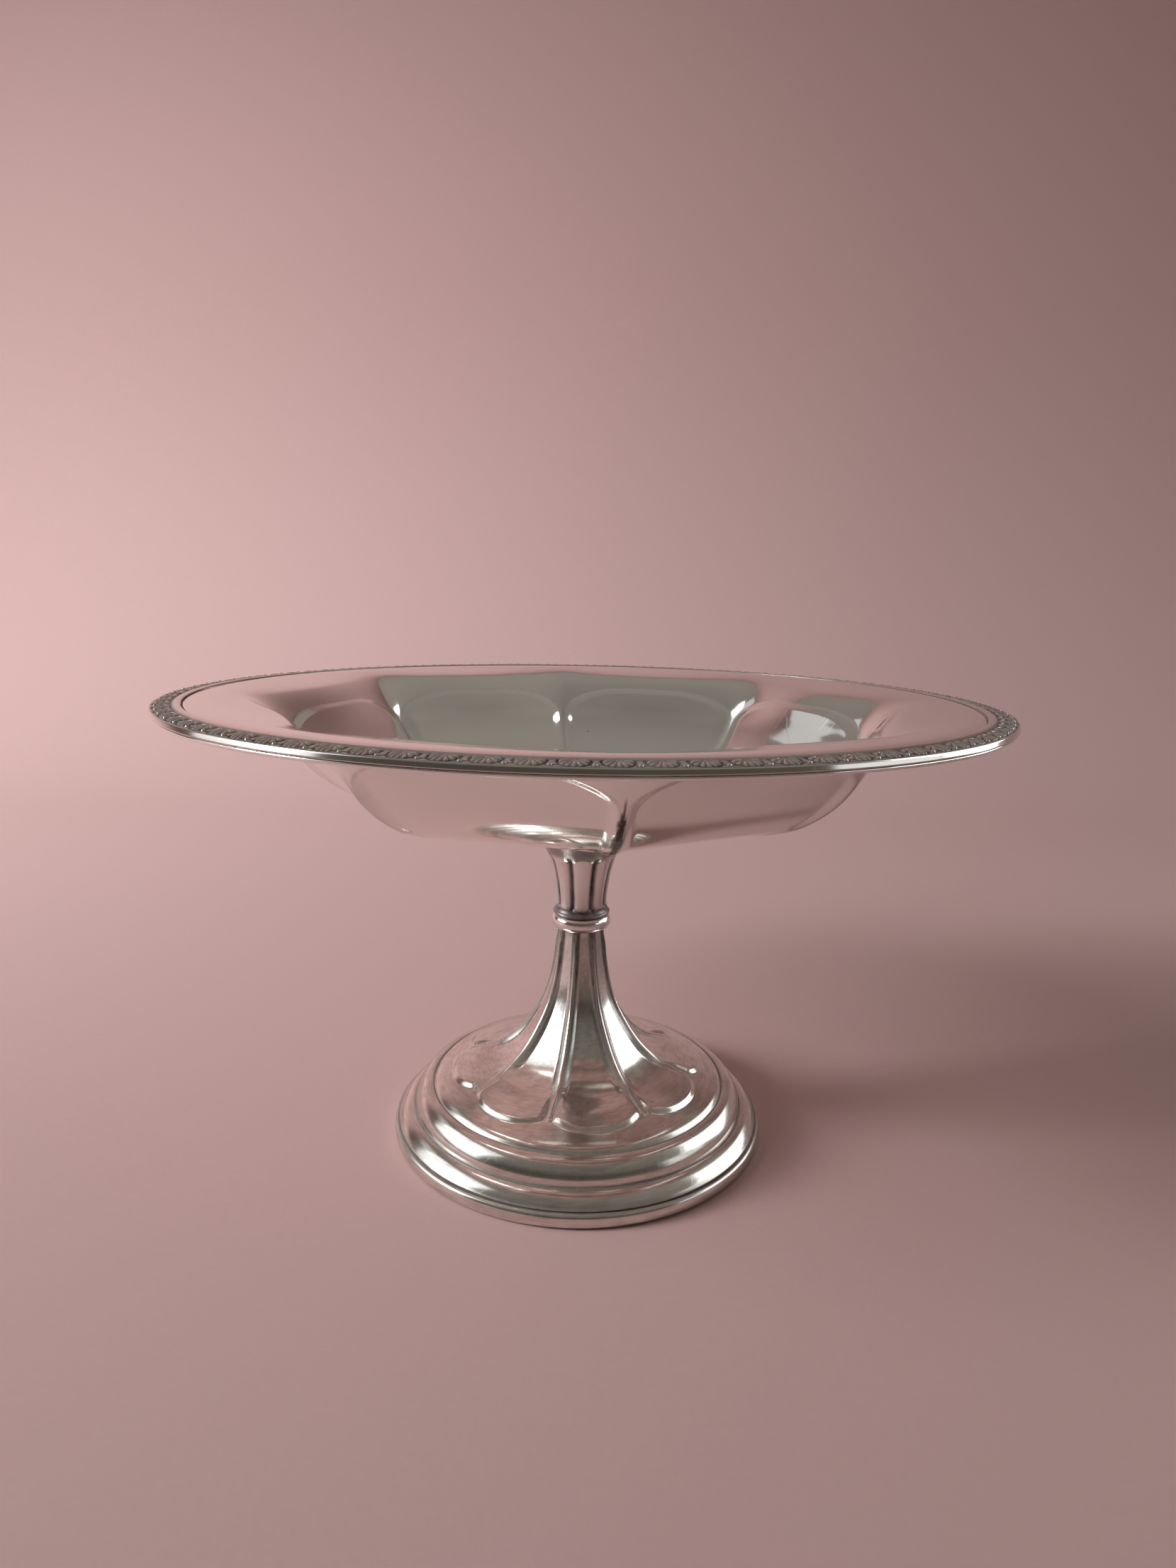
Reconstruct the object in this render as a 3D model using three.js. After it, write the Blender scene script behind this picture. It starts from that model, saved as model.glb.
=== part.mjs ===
// Footed bowl (compote) in polished silver: an eight-panelled dished bowl with
// an applied ornamental border, screwed to a lobed calyx on a loaded, fluted
// trumpet foot.  Millimetres, +Z up, origin at the centre of the resting face.
import * as THREE from 'three';
import { mergeVertices } from 'three/addons/utils/BufferGeometryUtils.js';

// ---------------------------------------------------------------- dimensions
const COLUMNS = 64;               // points round the panelled and fluted pieces
const PANEL_COLUMNS = [0, 1.6, 6.5, 14, 22.5, 31, 38.5, 43.4];  // where they stand in a panel's 45 degrees
const FLUTE_COLUMNS = [0, 2.2, 6.5, 14, 22.5, 31, 38.5, 42.8];  // and in a trumpet flute's
const CALYX_COLUMNS = [0, 1.8, 5.5, 12.5, 22.5, 32.5, 39.5, 43.2]; // and in a calyx lobe's
const SHEET = 1.0;                // thickness of the bowl's sheet
const PANELS = 8;                 // pressed panels round the bowl
const PANEL_RIB_AZ = 5.9;         // azimuth of one rib between two panels, degrees
const PANEL_RECESS = 1.45;        // extra depth of a panel below its chord, outside
const PANEL_RECESS_IN = 1.25;     // and inside
const PANEL_SHOULDER = 3.4;       // width of the soft step round a panel, outside
const PANEL_SHOULDER_IN = 4.6;    // and inside
const PANEL_CORNER = 29.0;        // sideways radius of a panel's upper corners
const PANEL_CORNER_SQUASH = 2.4;  // corner radius across / up the wall
const PANEL_TOP_Z = 139.1;        // height of the top of a panel's arch
const PANEL_RIB_HALF = 0.55;      // half width of the plain rib
const PANEL_FADE = [34, 58];      // radii over which a panel grows out of the round floor

const FLUTES = 8;                 // lobes on the calyx, flutes on the trumpet
const CALYX_GROOVE_AZ = 23.6;
const CALYX_GROOVE = 0.17;        // drop from a lobe to the groove beside it, as a share of the radius
const CALYX_LOBE_END = 0.18;      // height of the lobes' round ends
const TRUMPET_RIDGE_AZ = 32.1;
const TRUMPET_FLUTE = 2.5;        // greatest depth of a trumpet flute
const TRUMPET_FLUTE_END_R = 43.1; // radius where a flute's rounded petal end stops
const TRUMPET_PETAL = 1.15;       // height of the petal ends over the foot's disc
const SHELL = 1.1;                // wall of the calyx and the foot shell

const STUD_R = 2.4;               // screw stud under the bowl
const SOCKET_BORE_R = 2.9;
const ROD_R = 2.4;                // stiffening rod down the stem

// Outer (under) side of the bowl along a rib, from the centre to the rim.
const BOWL_PROFILE = [
  [0, 106.0], [17, 106.0], [30, 106.3], [44, 107.4], [54, 109.1], [60, 110.7],
  [65, 111.9], [69.7, 113.1], [72.8, 114.1], [76.3, 115.5], [80.1, 117.8],
  [83.4, 120.2], [86.6, 123.0], [89.3, 126.0], [92.3, 130.4], [94.4, 134.2],
  [97.0, 138.2], [100, 141.6], [104, 144.1], [108.5, 145.1], [113, 145.6],
  [116.5, 145.7], [119.5, 145.2], [122.5, 144.5], [126, 143.6],
];
// Section of the applied border, laid on the rim.
const BORDER_SECTION = [
  [118.68, 146.52], [118.9, 146.85], [119.85, 147.0], [120.7, 146.75], [121.3, 146.62],
  [126.2, 146.15], [126.6, 146.06], [126.98, 144.86], [126.6, 144.66], [122.6, 145.66],
  [120.0, 146.28],
];
// Outer side of the calyx along a lobe: spigot, flared base, lobes, plain cup.
const CALYX_PROFILE = [
  [7.4, 71.6], [7.4, 74.1], [7.6, 74.45], [9.0, 74.5], [9.35, 75.0], [8.8, 75.7],
  [8.55, 76.3], [8.4, 77.6], [9.05, 85.3], [11.0, 93.2], [11.8, 95.3], [14.3, 100.0], [17.0, 104.5],
  [18.2, 105.6],
];
// Outer side of the foot along a ridge, from the neck down to the foot.
const FOOT_PROFILE = [
  [7.4, 71.3], [7.6, 69.0], [7.9, 66.4], [9.0, 57.0], [10.3, 50.5], [12.2, 44.5],
  [15.8, 37.5], [22.0, 29.2], [28.8, 24.0], [34.8, 21.5], [38.6, 20.2], [41.5, 19.25],
  [44.2, 18.35], [46.3, 17.65], [48.05, 16.65], [48.85, 15.78], [50.2, 15.85], [51.6, 15.4],
  [53.4, 13.7], [54.6, 11.4], [55.0, 9.15], [56.5, 8.95], [58.5, 7.75], [60.0, 6.1],
  [60.6, 5.2],
];

// ------------------------------------------------------------------- helpers
const RAD = Math.PI / 180;
const clamp01 = (x) => Math.min(1, Math.max(0, x));
const smooth = (x) => { const t = clamp01(x); return t * t * (3 - 2 * t); };
const polar = (r, az, z) => [r * Math.sin(az * RAD), -r * Math.cos(az * RAD), z];

// A smooth plane curve through control points; at(s) gives point and normal
// at arc parameter s, measured along the chords.
function smoothCurve(points) {
  const d = [0];
  for (let i = 1; i < points.length; i++) {
    d.push(d[i - 1] + Math.hypot(points[i][0] - points[i - 1][0], points[i][1] - points[i - 1][1]));
  }
  const slope = (i, k) => (points[i + 1][k] - points[i][k]) / (d[i + 1] - d[i]);
  const tangent = points.map((_, i) => [0, 1].map((k) => {
    if (i === 0) return slope(0, k);
    if (i === points.length - 1) return slope(i - 1, k);
    const a = d[i] - d[i - 1], b = d[i + 1] - d[i];
    return (slope(i - 1, k) * b + slope(i, k) * a) / (a + b);
  }));
  const value = (s) => {
    let i = 0;
    while (i < points.length - 2 && s >= d[i + 1]) i++;
    const h = d[i + 1] - d[i], u = (s - d[i]) / h;
    const w = [2 * u ** 3 - 3 * u ** 2 + 1, (u ** 3 - 2 * u ** 2 + u) * h, -2 * u ** 3 + 3 * u ** 2, (u ** 3 - u ** 2) * h];
    return [0, 1].map((k) => w[0] * points[i][k] + w[1] * tangent[i][k] + w[2] * points[i + 1][k] + w[3] * tangent[i + 1][k]);
  };
  return {
    length: d[d.length - 1],
    knots: d,
    at(s) {
      const e = 0.02, a = value(Math.max(0, s - e)), b = value(Math.min(this.length, s + e));
      const n = Math.hypot(b[0] - a[0], b[1] - a[1]);
      return { p: value(s), n: [(b[1] - a[1]) / n, -(b[0] - a[0]) / n] };
    },
    // arc parameter at which the curve reaches a radius or a height
    find(k, target) {
      let lo = 0, hi = this.length;
      for (let s = 0; s <= this.length; s += 0.05) if (value(s)[k] >= target) { hi = s; break; } else lo = s;
      return (lo + hi) / 2;
    },
  };
}

// Turns a geometry into one clean closed body with its faces pointing out.
function body(geometry) {
  const g = geometry.clone();
  for (const name of Object.keys(g.attributes)) if (name !== 'position') g.deleteAttribute(name);
  const merged = mergeVertices(g, 1e-4);
  const p = merged.getAttribute('position');
  const index = [...merged.getIndex().array];
  const kept = [];
  let volume = 0;
  const a = new THREE.Vector3(), b = new THREE.Vector3(), c = new THREE.Vector3();
  for (let i = 0; i < index.length; i += 3) {
    const [i0, i1, i2] = [index[i], index[i + 1], index[i + 2]];
    if (i0 === i1 || i1 === i2 || i2 === i0) continue;
    a.fromBufferAttribute(p, i0); b.fromBufferAttribute(p, i1); c.fromBufferAttribute(p, i2);
    volume += a.dot(b.cross(c)) / 6;
    kept.push(i0, i1, i2);
  }
  if (volume < 0) for (let i = 0; i < kept.length; i += 3) [kept[i + 1], kept[i + 2]] = [kept[i + 2], kept[i + 1]];
  merged.setIndex(kept);
  merged.computeVertexNormals();
  return merged;
}

// A turned piece: section points [radius, height], on the axis at both ends or
// closed on itself.
function turned(section, segments, closed = true) {
  const pts = section.map(([r, z]) => new THREE.Vector2(r, z));
  if (closed) pts.push(pts[0].clone());
  const g = new THREE.LatheGeometry(pts, segments);
  g.rotateX(Math.PI / 2);
  return body(g);
}
const disc = (r, z0, z1, segments) => turned([[0, z0], [r, z0], [r, z1], [0, z1]], segments, false);
const tube = (r0, r1, z0, z1, segments) => turned([[r0, z0], [r1, z0], [r1, z1], [r0, z1]], segments);

// Skins rings of points into one body.  A ring is a list of points, or one
// point at a pole; when closed the last ring joins the first.
function skin(rings, closed) {
  const positions = [], starts = [], index = [];
  for (const ring of rings) { starts.push(positions.length / 3); for (const q of ring) positions.push(...q); }
  const count = closed ? rings.length : rings.length - 1;
  for (let i = 0; i < count; i++) {
    const j = (i + 1) % rings.length, A = rings[i], B = rings[j], n = Math.max(A.length, B.length);
    for (let k = 0; k < n; k++) {
      const k1 = (k + 1) % n;
      const a0 = starts[i] + (A.length > 1 ? k : 0), a1 = starts[i] + (A.length > 1 ? k1 : 0);
      const b0 = starts[j] + (B.length > 1 ? k : 0), b1 = starts[j] + (B.length > 1 ? k1 : 0);
      index.push(a0, a1, b1, a0, b1, b0);
    }
  }
  const g = new THREE.BufferGeometry();
  g.setAttribute('position', new THREE.Float32BufferAttribute(positions, 3));
  g.setIndex(index);
  return body(g);
}
const azimuths = (start, n) => Array.from({ length: n }, (_, i) => start + (360 / n) * i);
// Columns set by their places in each 45 degree sector; even = 1 spaces them evenly.
function columns(start, places, even = 0) {
  const out = [];
  for (let k = 0; k < 8; k++) places.forEach((a, i) => out.push(start + 45 * k + a + (i * 45 / places.length - a) * even));
  return out;
}
// Place in a sector from its edges (0) to its middle (1).
const sector = (az, start) => 1 - Math.abs(2 * (((((az - start) / 45) % 1) + 1) % 1) - 1);

// ---------------------------------------------------------------------- bowl
const bowlCurve = smoothCurve(BOWL_PROFILE);
const panelTopS = bowlCurve.find(1, PANEL_TOP_Z);
const HALF_PANEL = 180 / PANELS;

// Inward displacement of the bowl's wall at arc s, radius r, height z and azimuth az:
// flat chord between two ribs and, inside the arch, an extra recess with a soft step.
function panelDepth(s, r, z, az, recess, shoulder) {
  const t = sector(az, PANEL_RIB_AZ), half = r * HALF_PANEL * RAD;
  const tau = (0.7 + 9.5 * smooth((z - 127) / 10)) / half;
  const ts = (Math.hypot(t, tau) - tau) / (Math.hypot(1, tau) - tau);
  const chord = r * (1 - Math.cos(HALF_PANEL * RAD)) * (1 - (1 - ts) ** 2) * smooth((145.75 - z) / 2.2);
  const dx = t * half - PANEL_RIB_HALF, dt = (panelTopS - s) * PANEL_CORNER_SQUASH;
  const inside = dx < PANEL_CORNER && dt < PANEL_CORNER
    ? PANEL_CORNER - Math.hypot(PANEL_CORNER - dx, PANEL_CORNER - dt) : Math.min(dx, dt);
  const floor = smooth((r - PANEL_FADE[0]) / (PANEL_FADE[1] - PANEL_FADE[0]));
  return (chord + recess * smooth(inside / shoulder)) * floor;
}
function bowlRing(s, offset) {
  const { p, n } = bowlCurve.at(s);
  const step = offset ? [PANEL_RECESS_IN, PANEL_SHOULDER_IN] : [PANEL_RECESS, PANEL_SHOULDER];
  return columns(PANEL_RIB_AZ, PANEL_COLUMNS, smooth((p[0] - 98) / 12)).map((az) =>
    polar(p[0] - panelDepth(s, p[0], p[1], az, ...step) - n[0] * offset, az, p[1] - n[1] * offset));
}
function makeBowl() {
  const atR = (r) => bowlCurve.find(0, r);
  const under = [17, 42, 55, 66, 75, 81, 86.5, 91, 94, 96, 97.6, 98.8, 100, 102.5, 107, 111.5, 116.5, 119.5].map(atR);
  const upper = [17, 46, 60, 70, 77, 84, 90, 94.4, 97, 99.2, 103, 111.5, 116.5, 119.5].map(atR);
  const rings = [[[0, 0, BOWL_PROFILE[0][1]]]];
  for (const s of under) rings.push(bowlRing(s, 0));
  rings.push(bowlRing(bowlCurve.length, 0), bowlRing(bowlCurve.length, SHEET));
  for (const s of upper.reverse()) rings.push(bowlRing(s, SHEET));
  rings.push([[0, 0, BOWL_PROFILE[0][1] + SHEET]]);
  return skin(rings, false);
}
function makeBorder() {
  return skin(BORDER_SECTION.map(([r, z]) => azimuths(PANEL_RIB_AZ, COLUMNS).map((az) => polar(r, az, z))), true);
}

// --------------------------------------------------------------------- calyx
const calyxCurve = smoothCurve(CALYX_PROFILE);
function calyxRing(s, offset) {
  const { p, n } = calyxCurve.at(s), z = p[1], half = p[0] * 22.5 * RAD, tau = 0.22 / half;
  const deep = CALYX_GROOVE * p[0] * smooth((z - 75.9) / 2.2) * smooth((95 - z) / 2.2);
  const drop = CALYX_LOBE_END * smooth((z - 75.8) / 0.8) * smooth((96.2 - z) / 1.4);
  return columns(CALYX_GROOVE_AZ, CALYX_COLUMNS).map((az) => {
    const t = sector(az, CALYX_GROOVE_AZ), ts = (Math.hypot(t, tau) - tau) / (Math.hypot(1, tau) - tau);
    const end = smooth((z - 76.1 - 1.4 * (1 - t) ** 2) / 1.2) * smooth((94.6 - 0.9 * (1 - t) ** 2 - z) / 1.4);
    const lobe = deep * (1 - Math.sqrt(1 - 0.95 * (1 - ts) ** 2)) + drop * (1 - end);
    return polar(p[0] - lobe - n[0] * offset, az, z - n[1] * offset);
  });
}
function makeCalyx() {
  const atZ = (z) => calyxCurve.find(1, z), k = calyxCurve.knots;
  const out = [0, k[1], k[2], k[3], k[4], k[5], k[6], atZ(76.9), atZ(77.8), atZ(81.5), atZ(85.3), atZ(89.6), atZ(92.6), atZ(93.8), atZ(94.9),
    atZ(96.2), atZ(98.4), atZ(101), atZ(103.2), calyxCurve.length];
  const inside = [atZ(104.2), atZ(99), atZ(94), atZ(86)];
  const rings = out.map((s) => calyxRing(s, 0));
  for (const s of inside) rings.push(calyxRing(s, SHELL));
  for (const z of [78, 71.6]) rings.push(columns(CALYX_GROOVE_AZ, CALYX_COLUMNS).map((az) => polar(5.9, az, z)));
  return skin(rings, true);
}

// ---------------------------------------------------------------------- foot
const footCurve = smoothCurve(FOOT_PROFILE);
const fluteEndS = footCurve.find(0, TRUMPET_FLUTE_END_R);
// Flutes are hollow on the trumpet and rise into round petal ends over the disc.
function footRing(s, offset) {
  const { p, n } = footCurve.at(s), r = p[0], half = r * 22.5 * RAD;
  const ridge = 0.50 + 0.22 * smooth((r - 9) / 28);
  const deep = TRUMPET_FLUTE * (1 - Math.exp(-0.055 * r)) * (1 - 0.86 * smooth((r - 22) / 16)) * smooth((70.6 - p[1]) / 3);
  return columns(TRUMPET_RIDGE_AZ, FLUTE_COLUMNS, smooth((r - 43) / 4)).map((az) => {
    const dx = sector(az, TRUMPET_RIDGE_AZ) * half - ridge, t = clamp01(dx / (half - ridge));
    const dy = fluteEndS - 4.6 * (1 - t) ** 2.4 - s;
    const m = clamp01(0.5 + 0.5 * (dy - dx) / 1.6), d = dy * (1 - m) + dx * m - 1.6 * m * (1 - m);
    const hollow = 0.60 * smooth(d / Math.min(2.6, 0.42 * half)) + 0.40 * (1 - (1 - t) ** 2) * smooth(dy / 5);
    const depth = deep * hollow - TRUMPET_PETAL * smooth(d / 2.3) * smooth((r - 22) / 14);
    return polar(r + n[0] * (offset + depth), az, p[1] + n[1] * (offset + depth));
  });
}
function makeFootShell() {
  const atR = (r) => footCurve.find(0, r);
  const out = [0, ...[7.75, 8.4, 9.6, 11.4, 14, 18, 23, 29, 34, 37, 39.5, 41.3, 42.4, 43.4, 44.8].map(atR), ...footCurve.knots.slice(13)];
  const inside = [58.2, 53.2, 49.4, 45, 35, 23, 14, 9.2].map(atR);
  const rings = out.map((s) => footRing(s, 0));
  for (const s of [...inside, 0]) rings.push(footRing(s, SHELL));
  return skin(rings, true);
}

// ----------------------------------------------------------------- materials
const silver = (color, roughness) => new THREE.MeshStandardMaterial({ color, roughness, metalness: 1.0 });
const plain = (color, roughness) => new THREE.MeshStandardMaterial({ color, roughness, metalness: 0.0 });

const group = new THREE.Group();
function add(name, geometry, material) {
  const mesh = new THREE.Mesh(geometry, material);
  mesh.name = name;
  group.add(mesh);
  return mesh;
}

// Bowl and what is soldered to it.
add('bowl', makeBowl(), silver(0xd6d2cc, 0.12));
add('rim_border', makeBorder(), silver(0xb9b3aa, 0.28));
add('bowl_boss', disc(12, 104.9, 105.9, 32), silver(0xc8c2b8, 0.35));
add('bowl_stud', turned([[0, 94], [STUD_R - 0.5, 94], [STUD_R, 94.6], [STUD_R, 104.8], [0, 104.8]], 24, false), new THREE.MeshStandardMaterial({ color: 0xb08d4c, roughness: 0.35, metalness: 1.0 }));

// Washer that the bowl beds on.
add('seat_washer', tube(5.5, 12, 104.0, 104.75, 32), plain(0x8a6a4a, 0.8));

// Pedestal.
add('socket_bushing', turned([[SOCKET_BORE_R, 92], [6.5, 92], [6.5, 102], [12.4, 102], [12.4, 103.85], [SOCKET_BORE_R, 103.85]], 32), new THREE.MeshStandardMaterial({ color: 0xb08d4c, roughness: 0.35, metalness: 1.0 }));
add('calyx', makeCalyx(), silver(0xcfcac4, 0.12));
add('knop_ring', turned([[7.75, 69.9], [8.6, 69.5], [9.4, 70.1], [9.8, 71.2], [9.85, 72.1], [9.55, 73.3], [8.8, 74.1], [7.75, 74.3]], 28), silver(0xcfcac4, 0.14));
add('foot_shell', makeFootShell(), silver(0xd2cdc7, 0.12));
add('stem_rod', turned([[0, 3.2], [ROD_R, 3.2], [ROD_R, 90.4], [ROD_R - 0.5, 91], [0, 91]], 20, false), silver(0x8f9296, 0.4));
add('foot_fill', turned([[2.7, 5.2], [55.0, 5.2], [52.0, 8.4], [50.2, 11.2], [46.0, 14.4], [37.5, 17.0], [30.0, 18.8], [18.5, 26.5], [12.7, 34.4], [9.4, 42], [2.7, 42]], 28), plain(0x6b665f, 0.95));
add('base_plate', tube(ROD_R + 0.6, 57.8, 2.2, 3.0, 40), silver(0xb0aca4, 0.4));
add('felt_pad', disc(57.0, 0, 2.0, 40), plain(0x2f4a3a, 1.0));
add('foot_ring', turned([[60.3, 4.85], [61.4, 4.55], [61.9, 3.6], [62.05, 2.2], [61.8, 1.0], [61.1, 0.35], [59.4, 0.35], [58.7, 1.2], [58.7, 4.4]], 48), silver(0xcfcac4, 0.14));

export default group;
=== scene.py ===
import math

import bpy
import numpy as np
from mathutils import Matrix, Vector


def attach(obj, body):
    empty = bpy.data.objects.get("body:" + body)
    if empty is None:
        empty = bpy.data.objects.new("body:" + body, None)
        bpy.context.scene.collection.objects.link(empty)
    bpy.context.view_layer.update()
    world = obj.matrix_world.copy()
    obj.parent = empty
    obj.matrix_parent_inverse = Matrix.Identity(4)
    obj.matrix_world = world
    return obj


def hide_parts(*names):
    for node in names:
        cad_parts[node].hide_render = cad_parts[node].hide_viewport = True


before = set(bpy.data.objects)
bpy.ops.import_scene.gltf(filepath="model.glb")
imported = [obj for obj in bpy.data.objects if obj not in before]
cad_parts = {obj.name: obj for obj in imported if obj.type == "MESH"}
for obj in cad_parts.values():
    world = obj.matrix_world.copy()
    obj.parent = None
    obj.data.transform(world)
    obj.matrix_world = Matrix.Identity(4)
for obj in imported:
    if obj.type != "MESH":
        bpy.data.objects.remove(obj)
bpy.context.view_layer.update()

MM = 0.001
RAD = math.pi / 180


# ------------------------------------------------------------------ mesh tools
def smooth(x):
    x = np.clip(x, 0.0, 1.0)
    return x * x * (3 - 2 * x)


def curve(points, s):
    """Smooth plane curve through control points, at arc parameters s: points and right-hand normals."""
    P = np.asarray(points, float)
    d = np.r_[0, np.cumsum(np.hypot(*np.diff(P, axis=0).T))]
    dd = np.diff(d)
    sl = np.diff(P, axis=0) / dd[:, None]
    m = np.zeros_like(P)
    m[1:-1] = (sl[:-1] * dd[1:, None] + sl[1:] * dd[:-1, None]) / (dd[1:] + dd[:-1])[:, None]
    m[0], m[-1] = sl[0], sl[-1]

    def value(t):
        t = np.clip(t, 0, d[-1])
        i = np.clip(np.searchsorted(d, t, side="right") - 1, 0, len(d) - 2)
        h = dd[i]
        u = ((t - d[i]) / h)[:, None]
        h = h[:, None]
        return ((2 * u**3 - 3 * u**2 + 1) * P[i] + (u**3 - 2 * u**2 + u) * h * m[i]
                + (-2 * u**3 + 3 * u**2) * P[i + 1] + (u**3 - u**2) * h * m[i + 1])

    s = np.asarray(s, float)
    p = value(s)
    t = value(s + 0.02) - value(s - 0.02)
    t /= np.linalg.norm(t, axis=1)[:, None]
    return p, np.stack([t[:, 1], -t[:, 0]], -1)


def curve_length(points):
    return float(np.hypot(*np.diff(np.asarray(points, float), axis=0).T).sum())


def polar(r, az, z):
    """Grid points from radii, azimuths in degrees and heights, all in mm; metres out."""
    a = az * RAD
    return np.stack([r * np.sin(a), -r * np.cos(a), z + 0 * r], -1) * MM


def make_mesh(name, rings, closed=False, pole_first=None, pole_last=None, attrs=None, body=None, replaces=None, slot=None, material=None):
    """One closed surface from rings (m, n, 3) joined in order, columns wrapping round.
    closed joins the last ring to the first; poles close the ends.  attrs hold one value for each ring point."""
    m, n, _ = rings.shape
    co = rings.reshape(-1, 3)
    extra = []
    idx = np.arange(m * n).reshape(m, n)
    nxt = np.roll(idx, -1, axis=1)
    rows = np.arange(m if closed else m - 1)
    r1 = (rows + 1) % m
    quads = np.stack([idx[rows], nxt[rows], nxt[r1], idx[r1]], -1).reshape(-1, 4)
    tris = []
    if pole_first is not None:
        k = m * n + len(extra)
        extra.append(pole_first)
        tris.append(np.stack([np.full(n, k), nxt[0], idx[0]], -1))
    if pole_last is not None:
        k = m * n + len(extra)
        extra.append(pole_last)
        tris.append(np.stack([np.full(n, k), idx[-1], nxt[-1]], -1))
    if extra:
        co = np.vstack([co, np.asarray(extra, float)])
    tri = np.vstack(tris) if tris else np.zeros((0, 3), int)
    # outward faces by signed volume
    def vol(f):
        a, b, c = co[f[:, 0]], co[f[:, 1]], co[f[:, 2]]
        return np.einsum("ij,ij->i", a, np.cross(b, c)).sum()
    v = vol(quads[:, [0, 1, 2]]) + vol(quads[:, [0, 2, 3]]) + (vol(tri) if len(tri) else 0)
    if v < 0:
        quads, tri = quads[:, ::-1], tri[:, ::-1]
    me = bpy.data.meshes.new(name)
    loops = np.concatenate([quads.ravel(), tri.ravel()])
    sizes = np.r_[np.full(len(quads), 4), np.full(len(tri), 3)]
    starts = np.r_[0, np.cumsum(sizes)[:-1]]
    me.vertices.add(len(co))
    me.vertices.foreach_set("co", co.astype(np.float32).ravel())
    me.loops.add(len(loops))
    me.loops.foreach_set("vertex_index", loops.astype(np.int32))
    me.polygons.add(len(sizes))
    me.polygons.foreach_set("loop_start", starts.astype(np.int32))
    me.polygons.foreach_set("loop_total", sizes.astype(np.int32))
    me.update(calc_edges=True)
    me.polygons.foreach_set("use_smooth", np.ones(len(sizes), bool))
    for key, val in (attrs or {}).items():
        a = me.attributes.new(key, "FLOAT", "POINT")
        flat = np.r_[np.asarray(val, float).ravel(), np.zeros(len(extra))]
        a.data.foreach_set("value", flat.astype(np.float32))
    me.validate()
    o = bpy.data.objects.new(name, me)
    bpy.context.scene.collection.objects.link(o)
    if material:
        me.materials.append(material)
    if body:
        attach(o, body)
    if replaces:
        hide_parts(*([replaces] if isinstance(replaces, str) else replaces))
    return o


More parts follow.
